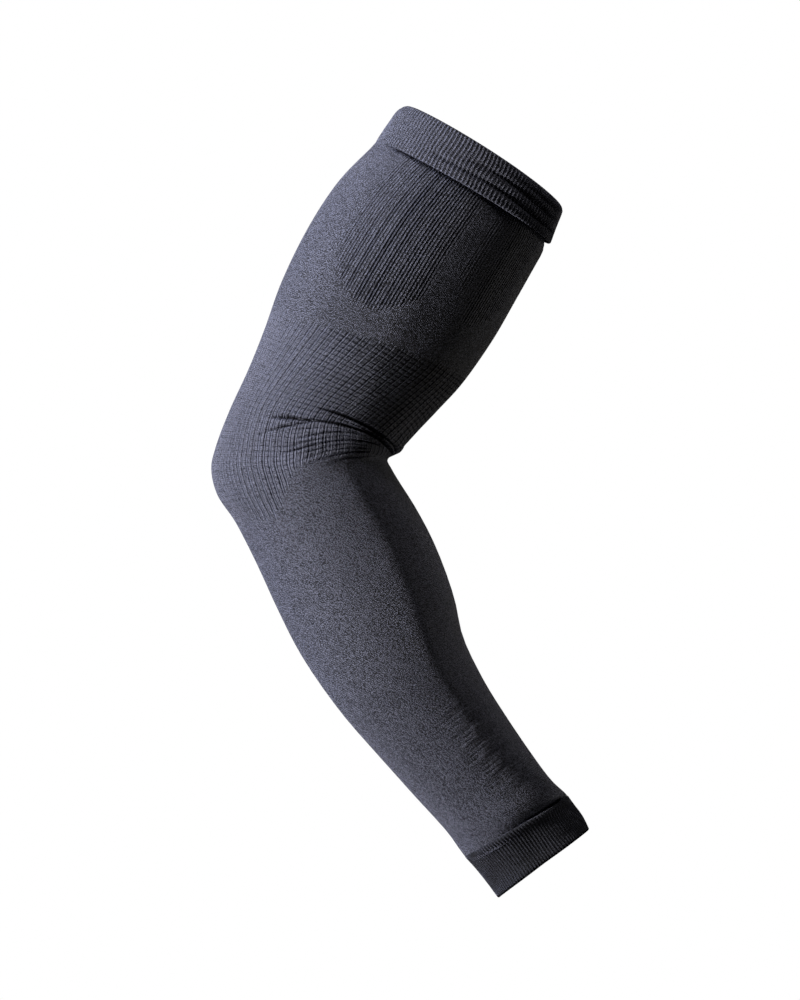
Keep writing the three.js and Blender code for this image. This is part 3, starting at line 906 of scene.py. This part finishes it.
PICTURE_MIDDLE = Vector((-0.0405, 0.0, -0.1705))  # what the middle of the picture shows, in the arm's plane
PICTURE_HEIGHT = 0.5  # metres of that plane from the picture's lower to its upper edge
CAMERA_DISTANCE = 2.2
SENSOR = 36.0
FLOOR_LEVEL = -0.62
FLOOR_SIZE = 1.3
FLOOR_GLOW = 0.6  # the floor has its own even light, so that it is pale all over
LIGHTS = (
    # name, place, width, height, watts, colour
    ("key", (-0.99, -0.55, -0.17), 0.25, 0.25, 10.4, "#fffaf0"),
    ("high", (-0.82, -0.07, 0.61), 0.25, 0.25, 6.1, "#e4ebff"),
    ("side", (-1.02, 0.17, 0.3), 0.25, 0.25, 3.7, "#e4ebff"),
    ("low", (-1.05, -0.27, -0.49), 0.25, 0.25, 4.2, "#f0f3ff"),
    ("top", (-0.06, -0.4, 0.84), 0.25, 0.25, 1.7, "#fff9f0"),
    ("rim", (0.65, 0.5, -0.45), 0.4, 0.3, 1.15, "#fff8e4"),
    ("wrist", (0.22, -0.25, -0.55), 0.15, 0.15, 0.1, "#fffaf0"),
    ("back", (0.2, 1.6, 0.1), 1.0, 1.0, 1.5, "#fff6dc"),
)
WORLD_LIGHT = 0.002


class SLEEVE_OT_stage(bpy.types.Operator):
    """Set up the floor, the lights, the white surround and the camera"""
    bl_idname = "sleeve.stage"
    bl_label = "Stage"

    def execute(self, context):
        scene = context.scene
        self.make_floor(scene)
        self.make_lights(scene)
        self.make_surround(scene)
        view = bpy.data.cameras.new("camera")
        view.sensor_width = SENSOR
        view.lens = SENSOR * CAMERA_DISTANCE / PICTURE_HEIGHT
        camera = bpy.data.objects.new("camera", view)
        camera.location = PICTURE_MIDDLE - Vector((0, CAMERA_DISTANCE, 0))
        camera.rotation_euler = (math.pi / 2, 0, 0)
        scene.collection.objects.link(camera)
        scene.camera = camera
        scene.view_settings.view_transform = "Standard"
        return {"FINISHED"}

    def make_floor(self, scene):
        """A plain pale floor below the sleeve."""
        bm = bmesh.new()
        bmesh.ops.create_grid(bm, x_segments=1, y_segments=1, size=FLOOR_SIZE)
        bmesh.ops.translate(bm, verts=bm.verts, vec=(PICTURE_MIDDLE.x, 0, FLOOR_LEVEL))
        mesh = bpy.data.meshes.new("floor")
        bm.to_mesh(mesh)
        bm.free()
        paint = bpy.data.materials.new("Matt studio paint")  # even and without gloss
        paint.use_nodes = True
        shader = paint.node_tree.nodes["Principled BSDF"]
        shader.inputs["Base Color"].default_value = (*scene.sleeve_colours.floor, 1)
        shader.inputs["Roughness"].default_value = 0.9
        shader.inputs["Emission Color"].default_value = (*scene.sleeve_colours.floor, 1)
        shader.inputs["Emission Strength"].default_value = FLOOR_GLOW
        mesh.materials.append(paint)
        floor = bpy.data.objects.new("floor", mesh)
        floor.visible_diffuse = False  # the photo's shadows have no light from below
        floor.visible_glossy = False
        scene.collection.objects.link(floor)

    def make_lights(self, scene):
        """Soft lamps that face the sleeve and aren't seen themselves."""
        for name, place, width, height, watts, colour in LIGHTS:
            lamp = bpy.data.lights.new(name, "AREA")
            lamp.shape = "RECTANGLE"
            lamp.size, lamp.size_y = width, height
            lamp.energy = watts
            lamp.color = linear(colour)
            light = bpy.data.objects.new(name, lamp)
            light.location = place
            light.rotation_euler = (PICTURE_MIDDLE - light.location).to_track_quat("-Z", "Y").to_euler()
            light.visible_camera = False
            scene.collection.objects.link(light)

    def make_surround(self, scene):
        """White where the camera looks past the sleeve, and a dim even light elsewhere."""
        scene.world = bpy.data.worlds.new("surround")
        scene.world.use_nodes = True
        scene.world.node_tree.nodes.clear()
        add = partial(add_node, scene.world.node_tree)
        seen = add("ShaderNodeLightPath", output="Is Camera Ray")
        strength = add(RANGE, seen, 0.0, 1.0, WORLD_LIGHT, 1.0)
        add("ShaderNodeOutputWorld", add("ShaderNodeBackground", (1, 1, 1, 1), strength))


class SLEEVE_PT_panel(bpy.types.Panel):
    """Sizes, colours and the steps of the sleeve"""
    bl_idname = "SLEEVE_PT_panel"
    bl_label = "Knitted arm sleeve"
    bl_space_type = "VIEW_3D"
    bl_region_type = "UI"
    bl_category = "Sleeve"

    def draw(self, context):
        for group in (context.scene.sleeve_sizes, context.scene.sleeve_colours):
            for name in group.__annotations__:
                self.layout.prop(group, name)
        for step in STEPS:
            self.layout.operator(step.bl_idname)


STEPS = (SLEEVE_OT_tube, SLEEVE_OT_band, SLEEVE_OT_cuff, SLEEVE_OT_stage)
CLASSES = (SleeveSizes, SleeveColours, *STEPS, SLEEVE_PT_panel)


def register():
    for cls in CLASSES:
        bpy.utils.register_class(cls)
    bpy.types.Scene.sleeve_sizes = PointerProperty(type=SleeveSizes)
    bpy.types.Scene.sleeve_colours = PointerProperty(type=SleeveColours)


def unregister():
    del bpy.types.Scene.sleeve_colours
    del bpy.types.Scene.sleeve_sizes
    for cls in reversed(CLASSES):
        bpy.utils.unregister_class(cls)


def main():
    register()
    bpy.ops.sleeve.tube()
    bpy.ops.sleeve.band()
    bpy.ops.sleeve.cuff()
    bpy.ops.sleeve.stage()


if __name__ == "__main__":
    main()
